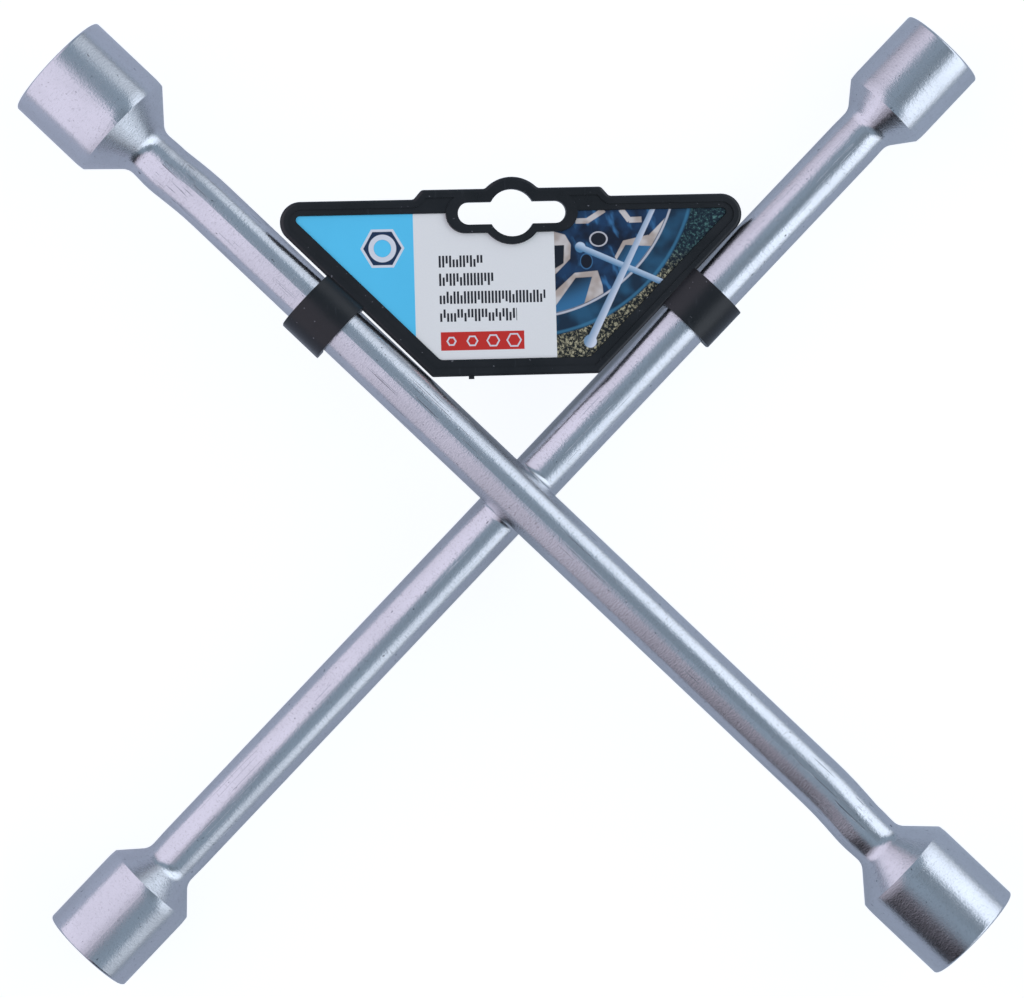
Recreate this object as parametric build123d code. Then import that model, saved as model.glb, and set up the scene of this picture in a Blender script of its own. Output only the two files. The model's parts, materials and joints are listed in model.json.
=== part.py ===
from build123d import *
import os
from math import cos, radians, sin, sqrt, tan

# Four-way cross wheel wrench with its snap-on hang plate, all in millimetres.
# It lies flat: the lower bar runs along X, the upper bar along Y, and +Z is up.
# The origin is below the middle of the cross, at the lowest point of the sockets.

# --- bars -------------------------------------------------------------------
ROD_D = 15.0             # round bar of both arms
AXIS_GAP = 11.5          # height between the two bar axes; the bars are set 3.5 into each other
UPPER_LENGTH = 355.0     # rim to rim along Y
LOWER_LENGTH = 353.0     # rim to rim along X
UPPER_OFFSET = 1.0       # the middle of the upper bar stands this far off its sockets' line
OFFSET_RUN = 11.0        # length of each gentle S-bend that makes that offset
OFFSET_END = 1.6         # straight bar between the S-bend and the socket

# --- sockets: hexagon size, barrel diameter, barrel length, shoulder angle, waist -----
HEX_PLAY = 0.2           # clearance across the flats
HEX_DEPTH = 20.0
MOUTH_CHAMFER = 1.6
RIM_ROUND = 0.7
NECK_RADIUS = 4.5
NECK_STUB = 5.0          # plain neck between the waist and the butt weld
CROWN_LENGTH = 3.0       # slightly domed end of the barrel
CROWN_DROP = 0.25
DRILL_HALF_ANGLE = 59.0
SOCKETS = {
    "socket_22mm": dict(hexagon=22.0, barrel=32.7, length=25.4, cone=43.7, waist=14.6),
    "socket_13_16in": dict(hexagon=20.64, barrel=30.9, length=27.6, cone=42.3, waist=14.7),
    "socket_19mm": dict(hexagon=19.0, barrel=28.1, length=26.3, cone=42.8, waist=14.8),
    "socket_17mm": dict(hexagon=17.0, barrel=26.0, length=24.4, cone=37.8, waist=14.8),
}

# --- weld ---------------------------------------------------------------------
WELD_FILLET = 2.0        # fillet all round the place where the bars meet

# --- hang plate, in its own plane: p across, q away from the cross, w off the plate ----
CLIP_REACH = 74.67       # from the bars' crossing to the middle of each clip, along the bar
CLIP_LENGTH = 13.4
CLIP_OUTER_R = 10.05
CLIP_INNER_R = 7.7
CLIP_LEG = 6.2           # how far the clip's legs reach below the bar's axis
CLIP_LEAD = 0.8          # lead-in chamfer at the clip's mouth
PLATE_LOW = 3.0          # underside of the plate above the clip axes
PLATE_TOP = 5.6          # top of the outer bead
LEDGE_TOP = 5.05
FLOOR_TOP = 4.2          # top of the thin wall that backs the card
CARD_THICKNESS = 0.35
BEAD_WIDTH = 2.3
SIDE_LINE = 10.68        # side edges follow q = |p| + SIDE_LINE
BOTTOM_Q = 34.25
TOP_Q = 84.25
TOP_CORNER_R = 5.8
BOTTOM_CORNER_R = 1.0
RISER_OUT = 27.7         # where the top edge steps up
RISER_IN = 25.4
RAISED_Q = 86.9
RISER_R = 1.4
BUMP_R = 10.15
SLOT_Q = 80.0            # middle of the hang slot
SLOT_WIDTH = 30.7
SLOT_HEIGHT = 6.3
SLOT_CIRCLE_R = 6.67
LIP_CIRCLE_R = 8.8       # raised lip round the hang slot
LIP_LOBE_R = 5.45
LIP_LOBE_P = 13.2
WINDOW_LINE = 17.6       # window sides follow q = |p| + WINDOW_LINE
WINDOW_BOTTOM_Q = 38.9
WINDOW_TOP_Q = 80.3
WINDOW_TOP_R = 1.2
WINDOW_BOTTOM_R = 2.0
CARD_GAP = 0.1
OUTER_ROUND = 1.0
UNDER_ROUND = 0.9
SLOT_ROUND = 0.8
GATE_P = -12.6           # nib left where the moulding was cut from its runner
GATE_WIDTH = 1.5
GATE_HEIGHT = 0.8

ROD_R = ROD_D / 2
LOWER_Z = SOCKETS["socket_19mm"]["barrel"] / 2
UPPER_Z = LOWER_Z + AXIS_GAP
UPPER_HALF = UPPER_LENGTH / 2
LOWER_HALF = LOWER_LENGTH / 2


def neck_waist(rim, spec):
    """Distance from the cross at which the neck is thinnest."""
    half_angle = radians(spec["cone"])
    shoulder_r = spec["barrel"] / 2 - CROWN_DROP
    shoulder = rim - spec["length"]
    cone_rise = shoulder_r - spec["waist"] / 2 - NECK_RADIUS * (1 - cos(half_angle))
    return shoulder - cone_rise / tan(half_angle) - NECK_RADIUS * sin(half_angle)


def weld_plane(rim, spec):
    """Distance from the cross of the butt weld between bar and socket."""
    return neck_waist(rim, spec) - NECK_STUB


def make_socket(rim, spec):
    """One forged socket along +Z, with its open end at z = rim."""
    barrel_r = spec["barrel"] / 2
    shoulder_r = barrel_r - CROWN_DROP
    shoulder = rim - spec["length"]
    waist_r = spec["waist"] / 2
    waist = neck_waist(rim, spec)
    weld = weld_plane(rim, spec)
    with BuildSketch(Plane.XZ) as profile:
        with BuildLine():
            Line((0, weld), (ROD_R, weld))
            Spline((ROD_R, weld), (waist_r, waist), tangents=((0, 1), (0, 1)))
            neck = JernArc((waist_r, waist), (0, 1), NECK_RADIUS, -spec["cone"])
            Line(neck @ 1, (shoulder_r, shoulder))
            TangentArc((barrel_r, shoulder + CROWN_LENGTH), (shoulder_r, shoulder), tangent=(0, -1))
            Line((barrel_r, shoulder + CROWN_LENGTH), (barrel_r, rim - RIM_ROUND))
            TangentArc((barrel_r, rim - RIM_ROUND), (barrel_r - RIM_ROUND, rim), tangent=(0, 1))
            Line((barrel_r - RIM_ROUND, rim), (0, rim))
            Line((0, rim), (0, weld))
        make_face()
    body = revolve(profile.sketch, axis=Axis.Z)

    flats = spec["hexagon"] + HEX_PLAY
    corner_r = flats / sqrt(3)
    hexagon = RegularPolygon(flats / 2, 6, major_radius=False)
    floor = rim - HEX_DEPTH
    hole = extrude(Pos(0, 0, floor) * hexagon, HEX_DEPTH + 1)
    drill_r = flats / 2 - 0.6
    drill_depth = drill_r / tan(radians(DRILL_HALF_ANGLE))
    drill = Pos(0, 0, floor - drill_depth) * Cone(
        0, drill_r, drill_depth, align=(Align.CENTER, Align.CENTER, Align.MIN)
    )
    mouth_r = corner_r + 0.4
    mouth = Pos(0, 0, rim - MOUTH_CHAMFER) * Cone(
        mouth_r - MOUTH_CHAMFER, mouth_r, MOUTH_CHAMFER, align=(Align.CENTER, Align.CENTER, Align.MIN)
    )
    return body - hole - drill - mouth


def upper_path():
    """Centre line of the upper bar, in plan."""
    north = weld_plane(UPPER_HALF, SOCKETS["socket_22mm"])
    south = weld_plane(UPPER_HALF, SOCKETS["socket_13_16in"])
    points = [
        (0, -south, UPPER_Z),
        (0, -south + OFFSET_END, UPPER_Z),
        (UPPER_OFFSET, -south + OFFSET_END + OFFSET_RUN, UPPER_Z),
        (UPPER_OFFSET, north - OFFSET_END - OFFSET_RUN, UPPER_Z),
        (0, north - OFFSET_END, UPPER_Z),
        (0, north, UPPER_Z),
    ]
    half_turn = UPPER_OFFSET / OFFSET_RUN / 2
    end_radius = 0.8 * OFFSET_END / half_turn
    bend_radius = 0.45 * OFFSET_RUN / half_turn
    return FilletPolyline(*points, radius=[end_radius, bend_radius, bend_radius, end_radius])


def make_rods():
    """The two bars: the lower one has a saddle that the upper one is set into."""
    path = upper_path()
    upper = sweep(Plane(path @ 0, z_dir=path % 0) * Circle(ROD_R), path=path)
    east = weld_plane(LOWER_HALF, SOCKETS["socket_17mm"])
    west = weld_plane(LOWER_HALF, SOCKETS["socket_19mm"])
    lower_plane = Plane((-west, 0, LOWER_Z), x_dir=(0, 1, 0), z_dir=(1, 0, 0))
    lower = extrude(lower_plane * Circle(ROD_R), west + east)
    return upper, lower - upper


def make_centre_weld(upper, lower):
    """Fillet of upset metal round the seat between the two bars."""
    reach = 20.0
    upper_plane = Plane((UPPER_OFFSET, -reach, UPPER_Z), x_dir=(0, 0, 1), z_dir=(0, 1, 0))
    lower_plane = Plane((UPPER_OFFSET - reach, 0, LOWER_Z), x_dir=(0, 0, -1), z_dir=(1, 0, 0))
    joint = extrude(upper_plane * Circle(ROD_R), 2 * reach)
    joint += extrude(lower_plane * Circle(ROD_R), 2 * reach)
    near = ROD_R * 1.3
    creases = [e for e in joint.edges() if (e.center() - Vector(UPPER_OFFSET, 0, e.center().Z)).length < near]
    return fillet(creases, WELD_FILLET) - upper - lower


def side_polygon(bottom, top, line):
    """Plate shape below a top edge: a level bottom and sides on q = |p| + line."""
    return Polygon(
        (-(bottom - line), bottom), (bottom - line, bottom), (top - line, top), (-(top - line), top), align=None
    )


def corners(sketch, q):
    return [v for v in sketch.vertices() if abs(v.Y - q) < 0.01]


def plate_outline():
    """Outer edge of the hang plate, with the stepped top and the bump over the slot."""
    sheet = side_polygon(BOTTOM_Q, TOP_Q, SIDE_LINE)
    sheet = fillet(corners(sheet, TOP_Q), TOP_CORNER_R)
    sheet = fillet(corners(sheet, BOTTOM_Q), BOTTOM_CORNER_R)
    step = Polygon(
        (-RISER_OUT - 1, TOP_Q - 1), (RISER_OUT + 1, TOP_Q - 1), (RISER_OUT, TOP_Q), (RISER_IN, RAISED_Q),
        (-RISER_IN, RAISED_Q), (-RISER_OUT, TOP_Q), align=None,
    )
    sheet = sheet + step + Pos(0, SLOT_Q) * Circle(BUMP_R)
    soft = corners(sheet, RAISED_Q) + [v for v in corners(sheet, TOP_Q) if abs(abs(v.X) - RISER_OUT) < 0.01]
    return fillet(soft, RISER_R)


def slot_outline():
    return Pos(0, SLOT_Q) * (SlotOverall(SLOT_WIDTH, SLOT_HEIGHT) + Circle(SLOT_CIRCLE_R))


def lip_outline():
    return Pos(0, SLOT_Q) * (
        SlotCenterToCenter(2 * LIP_LOBE_P, 2 * LIP_LOBE_R) + Circle(LIP_CIRCLE_R)
    )


def window_outline():
    window = side_polygon(WINDOW_BOTTOM_Q, WINDOW_TOP_Q, WINDOW_LINE)
    window = fillet(corners(window, WINDOW_TOP_Q), WINDOW_TOP_R)
    window = fillet(corners(window, WINDOW_BOTTOM_Q), WINDOW_BOTTOM_R)
    return window - lip_outline()


def slab(sketch, low, high):
    return extrude(Pos(0, 0, low) * sketch, high - low)


def make_clip(centre, along, off_plate):
    """U-shaped snap clip round a bar: an open channel along the bar, square to it."""
    across = off_plate.cross(along).normalized()
    section = Plane(centre - along * (CLIP_LENGTH / 2), x_dir=across, z_dir=along)
    outer = Circle(CLIP_OUTER_R) + Pos(0, -CLIP_LEG / 2) * Rectangle(2 * CLIP_OUTER_R, CLIP_LEG)
    outer -= Pos(0, -CLIP_LEG - CLIP_OUTER_R) * Rectangle(3 * CLIP_OUTER_R, 2 * CLIP_OUTER_R)
    inner = Circle(CLIP_INNER_R) + Pos(0, -CLIP_OUTER_R) * Rectangle(2 * CLIP_INNER_R, 2 * CLIP_OUTER_R)
    mouth = CLIP_INNER_R + CLIP_LEAD
    lead = Polygon(
        (-mouth, -CLIP_LEG), (mouth, -CLIP_LEG), (CLIP_INNER_R, -CLIP_LEG + CLIP_LEAD),
        (-CLIP_INNER_R, -CLIP_LEG + CLIP_LEAD), align=None,
    )
    return extrude(section * (outer - inner - lead), CLIP_LENGTH)


def hanger_plane():
    """The plate's own plane: it leans because its two clips sit on bars of different height."""
    left = Vector(UPPER_OFFSET, CLIP_REACH, UPPER_Z)
    right = Vector(UPPER_OFFSET + CLIP_REACH, 0, LOWER_Z)
    across = (right - left).normalized()
    away = Vector(1, 1, 0).normalized()
    apex = (left + right) / 2 - away * (CLIP_REACH / sqrt(2))
    return Plane(apex, x_dir=across, z_dir=across.cross(away))


def make_hanger():
    plane = hanger_plane()
    outline = plate_outline()
    lip = lip_outline()
    slot = slot_outline()
    plate = slab(outline, PLATE_LOW, PLATE_TOP)
    plate = fillet(plate.faces().sort_by(Axis.Z)[-1].outer_wire().edges(), OUTER_ROUND)
    plate = fillet(plate.faces().sort_by(Axis.Z)[0].outer_wire().edges(), UNDER_ROUND)
    plate -= slab(offset(outline, -BEAD_WIDTH) - lip, LEDGE_TOP, PLATE_TOP + 1)
    plate -= slab(window_outline(), FLOOR_TOP, PLATE_TOP + 1)
    plate -= slab(slot, PLATE_LOW - 1, PLATE_TOP + 1)
    gate = Pos(GATE_P, BOTTOM_Q - GATE_HEIGHT / 2 + 0.5) * Rectangle(GATE_WIDTH, GATE_HEIGHT + 1)
    plate += slab(gate, PLATE_LOW + 0.7, PLATE_TOP - 0.9)
    card = slab(offset(window_outline(), -CARD_GAP), FLOOR_TOP, FLOOR_TOP + CARD_THICKNESS)
    plate = plane.location * plate
    left = make_clip(Vector(UPPER_OFFSET, CLIP_REACH, UPPER_Z), Vector(0, 1, 0), plane.z_dir)
    right = make_clip(Vector(UPPER_OFFSET + CLIP_REACH, 0, LOWER_Z), Vector(1, 0, 0), plane.z_dir)
    return plate + left + right, plane.location * card


def arm(x, y, height):
    """Places a piece made along +Z onto the arm that points to (x, y)."""
    return Plane((0, 0, height), x_dir=(0, 0, 1), z_dir=(x, y, 0)).location


upper_rod, lower_rod = make_rods()
hanger_frame, front_card = make_hanger()
parts = {
    "upper_rod": upper_rod,
    "lower_rod": lower_rod,
    "socket_22mm": arm(0, 1, UPPER_Z) * make_socket(UPPER_HALF, SOCKETS["socket_22mm"]),
    "socket_13_16in": arm(0, -1, UPPER_Z) * make_socket(UPPER_HALF, SOCKETS["socket_13_16in"]),
    "socket_19mm": arm(-1, 0, LOWER_Z) * make_socket(LOWER_HALF, SOCKETS["socket_19mm"]),
    "socket_17mm": arm(1, 0, LOWER_Z) * make_socket(LOWER_HALF, SOCKETS["socket_17mm"]),
    "centre_weld": make_centre_weld(upper_rod, lower_rod),
    "hanger_frame": hanger_frame,
    "front_card": front_card,
}

os.makedirs("parts", exist_ok=True)
for name, shape in parts.items():
    export_step(shape, f"parts/{name}.step")
    print(name, len(shape.solids()), "solids", round(shape.volume, 1), "mm3", "valid", shape.is_valid)
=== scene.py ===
import json
from math import cos, radians, sin, sqrt

import bpy
from mathutils import Matrix, Vector


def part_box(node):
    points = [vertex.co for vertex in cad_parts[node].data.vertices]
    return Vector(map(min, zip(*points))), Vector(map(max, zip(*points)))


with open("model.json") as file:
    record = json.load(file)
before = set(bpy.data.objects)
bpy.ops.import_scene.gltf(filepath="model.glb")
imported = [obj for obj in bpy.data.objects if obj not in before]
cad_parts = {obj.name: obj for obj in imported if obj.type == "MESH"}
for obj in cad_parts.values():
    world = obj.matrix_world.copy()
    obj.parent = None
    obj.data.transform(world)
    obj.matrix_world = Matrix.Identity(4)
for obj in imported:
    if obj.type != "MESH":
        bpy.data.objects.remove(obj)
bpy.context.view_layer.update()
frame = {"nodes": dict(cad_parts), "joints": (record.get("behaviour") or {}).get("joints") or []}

# ---------------------------------------------------------------- sizes, in metres
MM = 0.001
CAMERA_HEIGHT = 1.300
VIEW_WIDTH = 0.28805          # what the frame is wide at the upper bar's level
VIEW_TURN = radians(1.56)     # the wrench lies turned by this much in the view
VIEW_SHIFT = (0.93 * MM, -0.11 * MM)   # the crossing stands this far from the view's middle
SENSOR = 36.0

# the hang plate's own plane, from the frame: p across, q away from the cross, w off the plate
LIFT = Vector(frame["joints"][0]["axis"]).normalized()
AWAY = Vector((1, 1, 0)).normalized()
ACROSS = AWAY.cross(LIFT).normalized()


def node_centre(name):
    low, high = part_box(name)
    return (low + high) / 2


UPPER_Z = node_centre("socket_22mm").z
LOWER_Z = node_centre("socket_19mm").z
BAR_OFFSET = node_centre("centre_weld").x
CLIP_REACH = 74.67 * MM
BETWEEN_CLIPS = Vector((BAR_OFFSET + CLIP_REACH / 2, CLIP_REACH / 2, (UPPER_Z + LOWER_Z) / 2))
APEX = BETWEEN_CLIPS - AWAY * (CLIP_REACH / sqrt(2))


# ---------------------------------------------------------------- node maths
class Value:
    """A number inside a node tree that can be used in ordinary sums."""

    def __init__(self, tree, socket):
        self.tree = tree
        self.socket = socket

    def _plug(self, node, index, other):
        if isinstance(other, Value):
            self.tree.links.new(other.socket, node.inputs[index])
        else:
            node.inputs[index].default_value = other

    def math(self, operation, *others):
        node = self.tree.nodes.new("ShaderNodeMath")
        node.operation = operation
        self._plug(node, 0, self)
        for index, other in enumerate(others):
            self._plug(node, index + 1, other)
        return Value(self.tree, node.outputs[0])

    def __add__(self, other):
        return self.math("ADD", other)

    def __sub__(self, other):
        return self.math("SUBTRACT", other)

    def __mul__(self, other):
        return self.math("MULTIPLY", other)

    def __truediv__(self, other):
        return self.math("DIVIDE", other)

    def inverse(self):
        return (self * -1.0) + 1.0

    def step(self, start, end):
        """0 before start, 1 after end, smooth between."""
        node = self.tree.nodes.new("ShaderNodeMapRange")
        node.interpolation_type = "SMOOTHSTEP"
        low, high, flip = (start, end, False) if end > start else (end, start, True)
        node.inputs["From Min"].default_value = low
        node.inputs["From Max"].default_value = high
        node.inputs["To Min"].default_value = 1.0 if flip else 0.0
        node.inputs["To Max"].default_value = 0.0 if flip else 1.0
        self._plug(node, 0, self)
        return Value(self.tree, node.outputs["Result"])

    def ramp(self, low, high, to_low, to_high):
        node = self.tree.nodes.new("ShaderNodeMapRange")
        node.inputs["From Min"].default_value = low
        node.inputs["From Max"].default_value = high
        node.inputs["To Min"].default_value = to_low
        node.inputs["To Max"].default_value = to_high
        self._plug(node, 0, self)
        return Value(self.tree, node.outputs["Result"])


def between(value, low, high, soft=0.06):
    return value.step(low - soft, low + soft) * value.step(high + soft, high - soft)


def length2(a, b):
    return (a * a + b * b).math("SQRT")


def combine(tree, x, y, z):
    node = tree.nodes.new("ShaderNodeCombineXYZ")
    for index, part in enumerate((x, y, z)):
        if isinstance(part, Value):
            tree.links.new(part.socket, node.inputs[index])
        else:
            node.inputs[index].default_value = part
    return node.outputs[0]


def noise(tree, vector, scale=1.0, detail=2.0, roughness=0.5):
    node = tree.nodes.new("ShaderNodeTexNoise")
    node.inputs["Scale"].default_value = scale
    node.inputs["Detail"].default_value = detail
    node.inputs["Roughness"].default_value = roughness
    tree.links.new(vector, node.inputs["Vector"])
    return Value(tree, node.outputs["Fac"])


def mix(tree, amount, first, second):
    """Colour mix; first and second are colours or sockets."""
    node = tree.nodes.new("ShaderNodeMix")
    node.data_type = "RGBA"
    tree.links.new(amount.socket, node.inputs[0])
    for index, colour in ((6, first), (7, second)):
        if isinstance(colour, bpy.types.NodeSocket):
            tree.links.new(colour, node.inputs[index])
        else:
            node.inputs[index].default_value = (*colour, 1.0)
    return node.outputs[2]


def bump(tree, height, distance, normal=None):
    node = tree.nodes.new("ShaderNodeBump")
    node.inputs["Strength"].default_value = 1.0
    node.inputs["Distance"].default_value = distance
    tree.links.new(height.socket, node.inputs["Height"])
    if normal is not None:
        tree.links.new(normal, node.inputs["Normal"])
    return node.outputs[0]


def place_along(tree, origin, direction):
    """Distance in mm from origin along direction, in the object's own coordinates."""
    coordinates = tree.nodes.new("ShaderNodeTexCoord")
    shifted = tree.nodes.new("ShaderNodeVectorMath")
    shifted.operation = "SUBTRACT"
    shifted.inputs[1].default_value = origin
    tree.links.new(coordinates.outputs["Object"], shifted.inputs[0])
    dot = tree.nodes.new("ShaderNodeVectorMath")
    dot.operation = "DOT_PRODUCT"
    dot.inputs[1].default_value = Vector(direction) * 1000
    tree.links.new(shifted.outputs[0], dot.inputs[0])
    return Value(tree, dot.outputs["Value"])


def new_material(name):
    material = bpy.data.materials.new(name)
    material.use_nodes = True
    tree = material.node_tree
    tree.nodes.clear()
    shader = tree.nodes.new("ShaderNodeBsdfPrincipled")
    output = tree.nodes.new("ShaderNodeOutputMaterial")
    tree.links.new(shader.outputs[0], output.inputs["Surface"])
    return material, tree, shader


def dress(name, material):
    node = frame["nodes"][name]
    node.data.materials.clear()
    node.data.materials.append(material)


# ---------------------------------------------------------------- plated steel
ZINC = (0.665, 0.675, 0.70)
HOLE_DEPTH = 26.0             # painted shade darkens the sockets inside, and they are rougher there, down to here, in mm


def plated_steel(name, origin, axis, hole_radius=0.0, hole_start=0.0, scratches=0.0, turned=1.0):
    """Bright zinc plate over turned steel: streaks run round the bar's axis."""
    material, tree, shader = new_material(name)
    axis = Vector(axis)
    side = Vector((0, 0, 1)).cross(axis)
    along = place_along(tree, origin, axis)
    a = place_along(tree, origin, side)
    b = place_along(tree, origin, (0, 0, 1))
    radius = length2(a, b)

    streak = noise(tree, combine(tree, along * 2.2, a * 0.75, b * 0.75), detail=3.0, roughness=0.65)
    fleck = noise(tree, combine(tree, along * 2.0, a * 1.6, b * 1.6), detail=2.0, roughness=0.6)
    cloud = noise(tree, combine(tree, along * 0.05, a * 0.12, b * 0.12), detail=3.0)
    ripple = noise(tree, combine(tree, along * 0.10, a * 0.30, b * 0.30), detail=1.0)

    tint = mix(tree, cloud.step(0.3, 0.7), ZINC, tuple(c * 0.93 for c in ZINC))
    tint = mix(tree, streak.step(0.56, 0.76) * 0.45, tint, tuple(c * 0.55 for c in ZINC))
    tint = mix(tree, fleck.step(0.58, 0.72) * 0.30, tint, tuple(c * 0.45 for c in ZINC))
    pit = noise(tree, combine(tree, along * 0.7, a * 1.3, b * 1.3), detail=1.0).step(0.74, 0.80)
    tint = mix(tree, pit * 0.8, tint, (0.08, 0.085, 0.10))
    rough = streak.ramp(0.3, 0.7, 0.15, 0.24) + cloud.ramp(0.3, 0.7, -0.03, 0.05)
    height = streak * (1.0 * turned) + fleck * (1.2 * turned)

    if scratches:
        drawn = noise(tree, combine(tree, along * 0.045, a * 2.6, b * 2.6), detail=1.5, roughness=0.5)
        patches = combine(tree, along * 0.035 + 7.3, a * 0.1, b * 0.1)
        where = noise(tree, patches, detail=0.0).step(0.45, 0.60)
        line = drawn.step(0.655, 0.69) * where * scratches
        tint = mix(tree, line * 0.65, tint, (0.13, 0.135, 0.155))
        height = height - line * 2.0

    if hole_radius:
        # painted shade inside the socket bores: the base colour goes darker there by a noisy amount; the
        # added roughness is a duller finish
        inside = radius.step(hole_radius, hole_radius - 0.5) * along.step(hole_start, hole_start + 1.0)
        bore_shade_noise = noise(tree, combine(tree, along * 0.3, a * 0.5, b * 0.5), detail=3.0)
        tint = mix(tree, inside * bore_shade_noise.ramp(0.3, 0.7, 0.35, 0.75), tint, (0.24, 0.25, 0.27))
        rough = rough + inside * 0.18

    tree.links.new(tint, shader.inputs["Base Color"])
    tree.links.new(rough.socket, shader.inputs["Roughness"])
    shader.inputs["Metallic"].default_value = 1.0
    relief = bump(tree, ripple, 2.0e-5)
    tree.links.new(bump(tree, height, 3.2e-5, relief), shader.inputs["Normal"])
    return material


def dress_steel():
    upper = Vector((0, 0, UPPER_Z))
    lower = Vector((0, 0, LOWER_Z))
    dress("upper_rod", plated_steel("zinc_upper_bar", upper, (0, 1, 0), scratches=1.0))
    dress("lower_rod", plated_steel("zinc_lower_bar", lower, (1, 0, 0), scratches=0.25))
    dress("centre_weld", plated_steel("zinc_weld", lower, (1, 0, 0), turned=0.4))
    for name, origin, axis, hexagon in (
        ("socket_22mm", upper, (0, 1, 0), 22.0),
        ("socket_13_16in", upper, (0, -1, 0), 20.64),
        ("socket_19mm", lower, (-1, 0, 0), 19.0),
        ("socket_17mm", lower, (1, 0, 0), 17.0),
    ):
        mouth = hexagon / sqrt(3) + 0.6
        low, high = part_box(name)
        reach = max(abs((corner - origin).dot(Vector(axis))) for corner in (low, high)) / MM
        hole_start = reach - HOLE_DEPTH
        dress(name, plated_steel("zinc_" + name, origin, axis, hole_radius=mouth, hole_start=hole_start))


# ---------------------------------------------------------------- black plastic
def black_plastic():
    material, tree, shader = new_material("black_plastic_moulded")
    p = place_along(tree, APEX, ACROSS)
    q = place_along(tree, APEX, AWAY)
    w = place_along(tree, APEX, LIFT)
    place = combine(tree, p, q, w)
    grain = noise(tree, place, scale=1.6, detail=4.0, roughness=0.6)
    flow = noise(tree, place, scale=0.09, detail=2.0)
    scuff = noise(tree, combine(tree, p * 0.9, q * 0.12, w * 0.9), detail=2.0).step(0.66, 0.76)
    dust = noise(tree, place, scale=1.1, detail=0.5).step(0.775, 0.80)
    colour = mix(tree, flow.step(0.3, 0.7), (0.0045, 0.0055, 0.0065), (0.0075, 0.0085, 0.0100))
    colour = mix(tree, scuff * 0.35, colour, (0.030, 0.032, 0.036))
    colour = mix(tree, dust * 0.6, colour, (0.22, 0.22, 0.23))
    rough = grain.ramp(0.3, 0.7, 0.28, 0.38) + flow.ramp(0.3, 0.7, -0.04, 0.05)
    tree.links.new(colour, shader.inputs["Base Color"])
    tree.links.new(rough.socket, shader.inputs["Roughness"])
    shader.inputs["Specular IOR Level"].default_value = 0.48
    relief = bump(tree, flow, 1.2e-4)
    tree.links.new(bump(tree, grain, 1.5e-5, relief), shader.inputs["Normal"])
    return material


# ---------------------------------------------------------------- printed card
BLUE = (0.12, 0.68, 0.98)
OFF_WHITE = (0.94, 0.93, 0.865)
RED = (0.67, 0.032, 0.022)
NAVY = (0.012, 0.035, 0.085)
INK = (0.018, 0.018, 0.024)
PANEL_LEFT = -28.0
PANEL_RIGHT = 11.8
TICK_ROWS = ((65.0, 68.3, 12.6), (59.8, 63.3, 15.6), (54.7, 58.2, 30.0), (49.7, 53.2, 21.8))
TICK_START = -21.1
TICK_PITCH = 0.98
STRIP = (-21.0, 2.6, 41.6, 46.8)
NUT = (-36.8, 70.7)
WHEEL = (3.3, 94.3)
WHEEL_RIM_R = 44.3
TYRE_R = 50.0
# the wheel's spokes: pale outlines with dark gaps in them, and pale edges near its hub
SPOKE_OUTLINES = (
    [(11.0, 57.0), (17.4, 62.7), (23.9, 63.2), (25.2, 59.0), (25.9, 50.0), (11.0, 46.0)],
    [(10.0, 75.0), (14.9, 73.5), (16.5, 70.7), (16.2, 66.7), (12.0, 62.5), (10.0, 61.0)],
    [(28.9, 67.0), (31.4, 71.5), (38.6, 73.0), (43.0, 66.0), (34.0, 58.0)],
    [(37.2, 71.4), (43.7, 77.8), (43.5, 66.0)],
)
SPOKE_EDGES = (
    ((18.0, 77.3), (21.2, 77.3), 0.75),
    ((21.0, 77.1), (26.2, 80.3), 0.75),
    ((31.0, 80.4), (33.4, 77.1), 0.8),
    ((33.2, 77.3), (36.8, 77.4), 0.8),
)
WHEEL_GAPS = (
    [(11.0, 52.6), (17.6, 61.3), (22.3, 61.5), (18.6, 50.0), (11.0, 47.0)],
    [(10.0, 70.5), (14.6, 70.6), (14.3, 65.5), (12.0, 64.1), (10.0, 63.2)],
    [(29.3, 66.0), (32.0, 70.3), (39.7, 69.8), (38.0, 60.0), (31.0, 58.0)],
)
# the drawn wrench's bars: ends, half widths, socket end (place, radius), shaded and lit colour
CARD_BARS = (
    ((18.9, 70.0), (42.4, 59.5), 0.85, 0.85, (0.3, 1.5), (0.10, 0.26, 0.42), (0.62, 0.74, 0.84)),
    ((40.3, 80.8), (20.9, 42.5), 0.70, 1.15, (42.0, 1.85), (0.22, 0.36, 0.50), (0.80, 0.84, 0.90)),
)


def hexagon_distance(x, y):
    """Distance from the middle to a hexagon's flats."""
    slanted = y.math("ABSOLUTE") * 0.5 + x.math("ABSOLUTE") * 0.8660254
    return slanted.math("MAXIMUM", y.math("ABSOLUTE"))


def bar_distance(p, q, start, end):
    """Distance from a straight bar's centre line, and how far along it."""
    dx, dy = end[0] - start[0], end[1] - start[1]
    size = sqrt(dx * dx + dy * dy)
    dx, dy = dx / size, dy / size
    x, y = p - start[0], q - start[1]
    along = x * dx + y * dy
    off = x * -dy + y * dx
    return off, along, size


def stroke(p, q, start, end, half):
    """1 on a straight line of the given half width."""
    off, along, size = bar_distance(p, q, start, end)
    return off.math("ABSOLUTE").step(half + 0.12, half - 0.12) * between(along, 0.0, size, 0.2)


def patch(p, q, points, soft=0.15):
    """1 inside a convex outline whose corners run clockwise."""
    inside = None
    for start, end in zip(points, points[1:] + points[:1]):
        off = bar_distance(p, q, start, end)[0]
        side = off.step(soft, -soft)
        inside = side if inside is None else inside * side
    return inside


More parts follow.
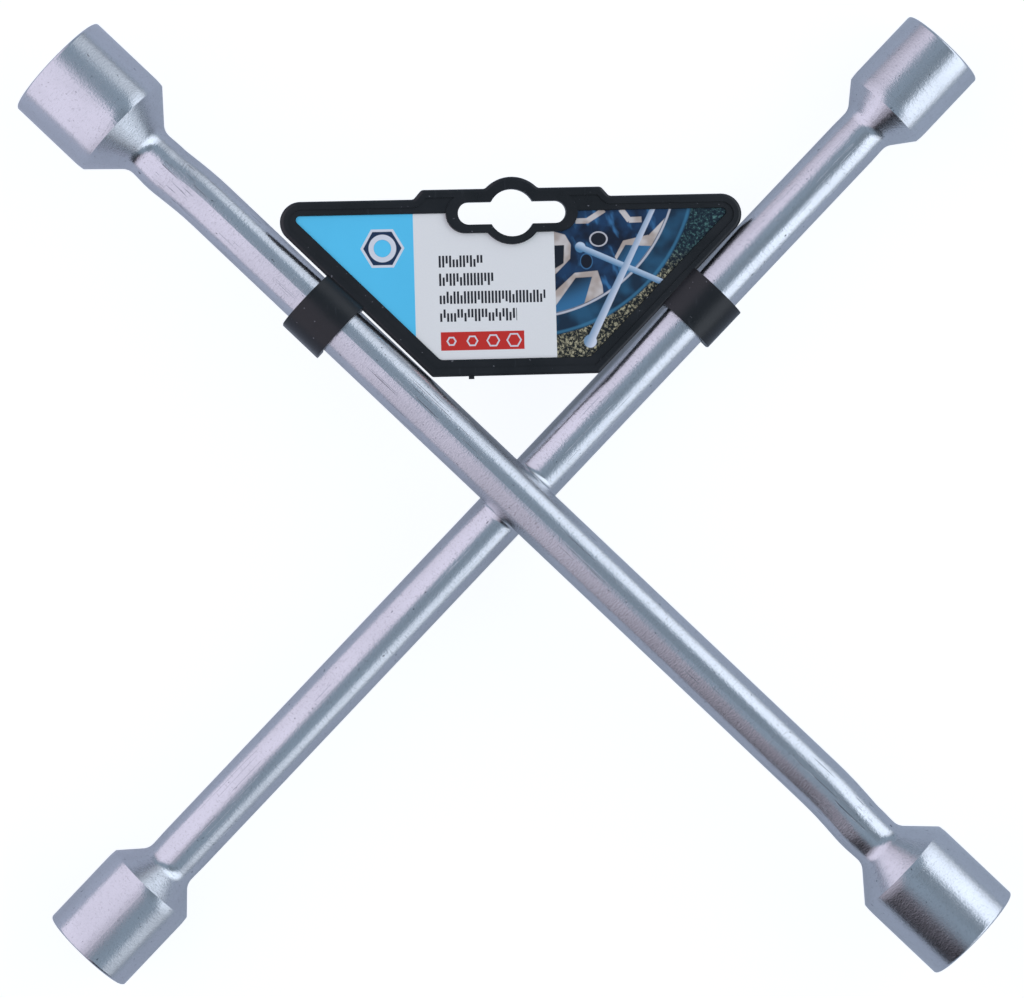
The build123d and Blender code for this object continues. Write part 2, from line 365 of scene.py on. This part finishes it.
def draw_wheel(tree, p, q, x, y, radius):
    sheen = noise(tree, combine(tree, p, q, 0.0), scale=0.16, detail=2.0)
    glow = noise(tree, combine(tree, p * 0.35 + q * 0.1, q * 0.16, 5.0), scale=1.0, detail=2.0)
    colour = mix(tree, sheen.step(0.35, 0.62), (0.005, 0.012, 0.030), (0.012, 0.050, 0.120))
    colour = mix(tree, glow.step(0.54, 0.72) * 0.8, colour, (0.055, 0.21, 0.42))
    inner = radius.step(WHEEL_RIM_R - 0.6, WHEEL_RIM_R - 1.0)
    light = sheen.step(0.40, 0.62)
    beige = mix(tree, light, (0.50, 0.41, 0.34), (0.72, 0.66, 0.60))
    pale_blue = radius.step(35.0, 43.0)
    depth = mix(tree, pale_blue * 0.9, (0.008, 0.012, 0.020), (0.045, 0.20, 0.38))
    for outline in SPOKE_OUTLINES:
        colour = mix(tree, patch(p, q, outline) * inner, colour, beige)
    for start, end, half in SPOKE_EDGES:
        colour = mix(tree, stroke(p, q, start, end, half), colour, beige)
    for outline in WHEEL_GAPS:
        colour = mix(tree, patch(p, q, outline) * inner, colour, depth)
    ring = length2((x - 21.1) * 0.95, (y + 22.2) * 1.15)
    colour = mix(tree, ring.step(2.6, 2.4), colour, (0.62, 0.60, 0.60))
    colour = mix(tree, ring.step(2.15, 1.95), colour, (0.010, 0.012, 0.020))
    bolt = length2((x - 17.5) * 1.25, y + 28.4)
    colour = mix(tree, bolt.step(2.4, 2.2), colour, (0.05, 0.16, 0.30))
    colour = mix(tree, bolt.step(2.05, 1.85), colour, (0.006, 0.009, 0.018))
    return mix(tree, radius.step(WHEEL_RIM_R - 0.75, WHEEL_RIM_R - 0.45), colour, (0.60, 0.60, 0.62))


def draw_picture(tree, p, q):
    """A plain drawing of a car wheel on grass with a cross wrench on it."""
    x, y = p - WHEEL[0], q - WHEEL[1]
    radius = length2(x, y)
    leaning = combine(tree, p * 0.9 + q * 0.5, q * 0.9 - p * 0.4, 3.0)
    blades = noise(tree, leaning, scale=1.25, detail=4.0, roughness=0.8)
    straw = mix(tree, blades.step(0.47, 0.66), (0.006, 0.009, 0.010), (0.62, 0.56, 0.34))
    green = mix(tree, blades.step(0.48, 0.72), (0.004, 0.014, 0.026), (0.13, 0.30, 0.26))
    colour = mix(tree, q.step(60, 70), straw, green)

    smear = noise(tree, combine(tree, p, q, 9.0), scale=0.12, detail=2.0)
    tyre = mix(tree, smear.step(0.35, 0.65), (0.008, 0.028, 0.055), (0.022, 0.105, 0.190))
    colour = mix(tree, radius.step(TYRE_R, TYRE_R - 0.5), colour, tyre)
    wall = between(radius, TYRE_R - 1.3, TYRE_R - 0.5, 0.3) * 0.6
    colour = mix(tree, wall, colour, (0.06, 0.25, 0.40))
    wheel = draw_wheel(tree, p, q, x, y, radius)
    colour = mix(tree, radius.step(WHEEL_RIM_R + 0.15, WHEEL_RIM_R - 0.15), colour, wheel)

    for start, end, top_half, end_half, (knob_at, knob_r), shade, bright in CARD_BARS:
        off, along, size = bar_distance(p, q, start, end)
        half = along.ramp(0.0, size, top_half, end_half)
        body = (off.math("ABSOLUTE") - half).step(0.12, -0.12) * between(along, 0.0, size, 0.2)
        lit = off.ramp(-end_half, end_half, 0.0, 1.0)
        metal = mix(tree, lit, shade, bright)
        colour = mix(tree, body, colour, metal)
        knob = length2(off, along - knob_at)
        colour = mix(tree, knob.step(knob_r + 0.15, knob_r - 0.15), colour, metal)
    return colour


def printed_card():
    material, tree, shader = new_material("card_print")
    p = place_along(tree, APEX, ACROSS)
    q = place_along(tree, APEX, AWAY)
    w = place_along(tree, APEX, LIFT)
    fibre = noise(tree, combine(tree, p, q, w), scale=2.2, detail=4.0, roughness=0.7)
    cloud = noise(tree, combine(tree, p, q, w), scale=0.05, detail=2.0)
    blue = mix(tree, cloud.step(0.3, 0.7), BLUE, tuple(c * 0.96 for c in BLUE))
    white = mix(tree, fibre.step(0.35, 0.65) * 0.5, OFF_WHITE, tuple(c * 0.965 for c in OFF_WHITE))
    colour = mix(tree, p.step(PANEL_LEFT - 0.06, PANEL_LEFT + 0.06), blue, white)
    colour = mix(tree, q.step(80.45, 80.6) * p.step(5.0, 4.0), colour, white)

    # rows of short upright ticks, where a shop card has its lines of print
    cell = ((p - TICK_START) / TICK_PITCH).math("FLOOR")
    inside_cell = ((p - TICK_START) / TICK_PITCH).math("FRACT")
    for row, (low, high, run) in enumerate(TICK_ROWS):
        pick = noise(tree, combine(tree, cell * 3.71, row * 5.3, 0.5), detail=0.0)
        top = pick.step(0.58, 0.60) * -1.1 + high
        base = pick.step(0.42, 0.40) * 1.1 + low
        tall = (q - base).step(-0.06, 0.06) * (q - top).step(0.06, -0.06)
        tick = between(inside_cell, 0.06, 0.68, 0.05) * tall
        tick = tick * between(p, TICK_START, TICK_START + run, 0.02)
        colour = mix(tree, tick, colour, INK)

    # red strip with four nut outlines that grow from left to right
    strip = between(p, STRIP[0], STRIP[1]) * between(q, STRIP[2], STRIP[3])
    colour = mix(tree, strip, colour, RED)
    middle = (STRIP[2] + STRIP[3]) / 2
    for index in range(4):
        nut = hexagon_distance(p - (-18.0 + 5.9 * index), q - middle)
        size = 1.25 + 0.22 * index
        ring = between(nut, size - 0.42, size, 0.05)
        colour = mix(tree, ring, colour, (0.80, 0.80, 0.80))

    # plain nut pictogram on the blue panel
    x, y = p - NUT[0], q - NUT[1]
    flats = hexagon_distance(x, y)
    hole = length2(x, y)
    colour = mix(tree, flats.step(5.45, 5.30), colour, (0.80, 0.82, 0.84))
    colour = mix(tree, flats.step(4.75, 4.60), colour, NAVY)
    colour = mix(tree, between(hole, 2.45, 3.9, 0.08), colour, (0.80, 0.82, 0.84))
    colour = mix(tree, hole.step(2.5, 2.35), colour, BLUE)

    picture = draw_picture(tree, p, q)
    colour = mix(tree, p.step(PANEL_RIGHT - 0.06, PANEL_RIGHT + 0.06), colour, picture)

    tree.links.new(colour, shader.inputs["Base Color"])
    rough = fibre.ramp(0.3, 0.7, 0.30, 0.42)
    tree.links.new(rough.socket, shader.inputs["Roughness"])
    shader.inputs["Specular IOR Level"].default_value = 0.35
    tree.links.new(bump(tree, fibre, 4e-6), shader.inputs["Normal"])
    return material


# ---------------------------------------------------------------- studio
RIGHT = Vector((1, -1, 0)).normalized()     # to the view's right, along the table
UP = Vector((1, 1, 0)).normalized()         # to the view's top, along the table
TABLE_HALF = 4.0
LEFT_GLOW = (0.94, 0.90, 1.08)
RIGHT_GLOW = (0.84, 0.93, 1.06)
ROOM = (0.30, 0.385, 0.48)
ROOM_DARK_SIDE = (0.07, 0.08, 0.10)         # towards the view's bottom left
ROOM_OVERHEAD = (0.19, 0.24, 0.29)          # the gap between the two diffusers


def studio_point(right, up, height):
    return RIGHT * right + UP * up + Vector((0, 0, height))


def rectangle(x, y):
    return [(-x, -y, 0), (x, -y, 0), (x, y, 0), (-x, y, 0)]


def glowing_panel(name, centre, across, tall, width, height, colour, falloff):
    """A soft diffuser: a flat sheet that glows on its front, hottest at its middle."""
    across = across.normalized()
    tall = (tall - across * tall.dot(across)).normalized()
    normal = across.cross(tall)
    mesh = bpy.data.meshes.new(name)
    mesh.from_pydata(rectangle(width / 2, height / 2), [], [(0, 1, 2, 3)])
    panel = bpy.data.objects.new(name, mesh)
    bpy.context.scene.collection.objects.link(panel)
    turn = Matrix((across, tall, normal)).transposed().to_4x4()
    panel.matrix_world = Matrix.Translation(centre) @ turn
    panel.visible_camera = False
    material = bpy.data.materials.new(name)
    material.use_nodes = True
    tree = material.node_tree
    tree.nodes.clear()
    x = place_along(tree, (0, 0, 0), (1, 0, 0))
    y = place_along(tree, (0, 0, 0), (0, 1, 0))
    strength = falloff(x, y)
    light = tree.nodes.new("ShaderNodeEmission")
    light.inputs["Color"].default_value = (*colour, 1.0)
    geometry = tree.nodes.new("ShaderNodeNewGeometry")
    front = Value(tree, geometry.outputs["Backfacing"]).inverse()
    tree.links.new((strength * front).socket, light.inputs["Strength"])
    output = tree.nodes.new("ShaderNodeOutputMaterial")
    tree.links.new(light.outputs[0], output.inputs["Surface"])
    mesh.materials.append(material)


def bell(x, middle, spread):
    """1 at the middle, falling away like a bell curve; x in mm."""
    y = (x - middle) / spread
    return (y * y * -0.5).math("EXPONENT")


def table(name, height, colour, glow, glow_colour=(1.0, 1.0, 1.0)):
    mesh = bpy.data.meshes.new(name)
    mesh.from_pydata(rectangle(TABLE_HALF, TABLE_HALF), [], [(0, 1, 2, 3)])
    surface = bpy.data.objects.new(name, mesh)
    bpy.context.scene.collection.objects.link(surface)
    surface.location.z = height
    material, _, shader = new_material(name)
    shader.inputs["Base Color"].default_value = (*colour, 1)
    shader.inputs["Roughness"].default_value = 0.9
    shader.inputs["Specular IOR Level"].default_value = 0.0
    shader.inputs["Emission Color"].default_value = (*glow_colour, 1)
    shader.inputs["Emission Strength"].default_value = glow
    mesh.materials.append(material)
    return surface


def make_studio():
    # left: a wide pinkish diffuser that leans over the table
    top = studio_point(-0.10, 0.10, 0.64)
    foot = studio_point(-0.66, 0.10, 0.04)
    slope = top - foot
    middle = (top + foot) / 2
    drop = slope.length / MM

    def left_falloff(x, y):
        # fades out towards the view's bottom left, and a little towards its top
        up = x + middle.dot(UP) / MM
        down = y / -drop + 0.5
        low_end = (up + down * 470.0).ramp(-540.0, 100.0, 0.0, 1.0)
        high_end = bell(up.math("MAXIMUM", 150.0), 150.0, 750.0)
        return low_end * high_end * 1.06

    glowing_panel("left_diffuser", middle, UP, slope, 2.2, slope.length, LEFT_GLOW, left_falloff)

    # right: an upright strip, further off
    def right_falloff(x, y):
        return bell(x, 0.0, 950.0) * y.ramp(-430.0, -220.0, 0.45, 1.0) * 1.62

    strip = studio_point(0.64, 0.0, 0.49)
    upright = Vector((0, 0, 1))
    glowing_panel("right_strip", strip, UP * -1, upright, 3.4, 0.88, RIGHT_GLOW, right_falloff)

    # the white table that is seen, and just over it a duller one, unseen, that lights the wrench
    # and is mirrored by it
    floor = table("floor", -0.4 * MM, (0.45, 0.45, 0.45), 0.80)
    floor.visible_glossy = False
    floor.visible_diffuse = False
    bounce = table("bounce", -0.1 * MM, (0.50, 0.54, 0.60), 0.12, (0.80, 0.92, 1.06))
    bounce.visible_camera = False
    bounce.visible_shadow = False

    world = bpy.data.worlds.new("studio")
    bpy.context.scene.world = world
    world.use_nodes = True
    tree = world.node_tree
    tree.nodes.clear()
    coordinates = tree.nodes.new("ShaderNodeTexCoord")
    toward = tree.nodes.new("ShaderNodeVectorMath")
    toward.operation = "DOT_PRODUCT"
    toward.inputs[1].default_value = (UP * -1 - RIGHT * 0.7).normalized()
    tree.links.new(coordinates.outputs["Generated"], toward.inputs[0])
    shade = Value(tree, toward.outputs["Value"]).step(0.25, 0.85)
    colour = mix(tree, shade, ROOM, ROOM_DARK_SIDE)
    overhead = tree.nodes.new("ShaderNodeVectorMath")
    overhead.operation = "DOT_PRODUCT"
    overhead.inputs[1].default_value = (RIGHT * 0.45 + Vector((0, 0, 0.9))).normalized()
    tree.links.new(coordinates.outputs["Generated"], overhead.inputs[0])
    gap = Value(tree, overhead.outputs["Value"]).step(0.93, 0.985)
    colour = mix(tree, gap * 0.8, colour, ROOM_OVERHEAD)
    background = tree.nodes.new("ShaderNodeBackground")
    tree.links.new(colour, background.inputs["Color"])
    output = tree.nodes.new("ShaderNodeOutputWorld")
    tree.links.new(background.outputs[0], output.inputs["Surface"])


def make_camera():
    data = bpy.data.cameras.new("camera")
    data.sensor_width = SENSOR
    data.lens = SENSOR * (CAMERA_HEIGHT - UPPER_Z) / VIEW_WIDTH
    data.clip_end = 20
    camera = bpy.data.objects.new("camera", data)
    bpy.context.scene.collection.objects.link(camera)
    right = RIGHT * cos(VIEW_TURN) - UP * sin(VIEW_TURN)
    up = RIGHT * sin(VIEW_TURN) + UP * cos(VIEW_TURN)
    back = Vector((0, 0, 1))
    place = back * CAMERA_HEIGHT - right * VIEW_SHIFT[0] - up * VIEW_SHIFT[1]
    camera.matrix_world = Matrix.Translation(place) @ Matrix((right, up, back)).transposed().to_4x4()
    bpy.context.scene.camera = camera


make_camera()
make_studio()
dress_steel()
dress("hanger_frame", black_plastic())
dress("front_card", printed_card())
bpy.context.scene.view_settings.view_transform = "Standard"
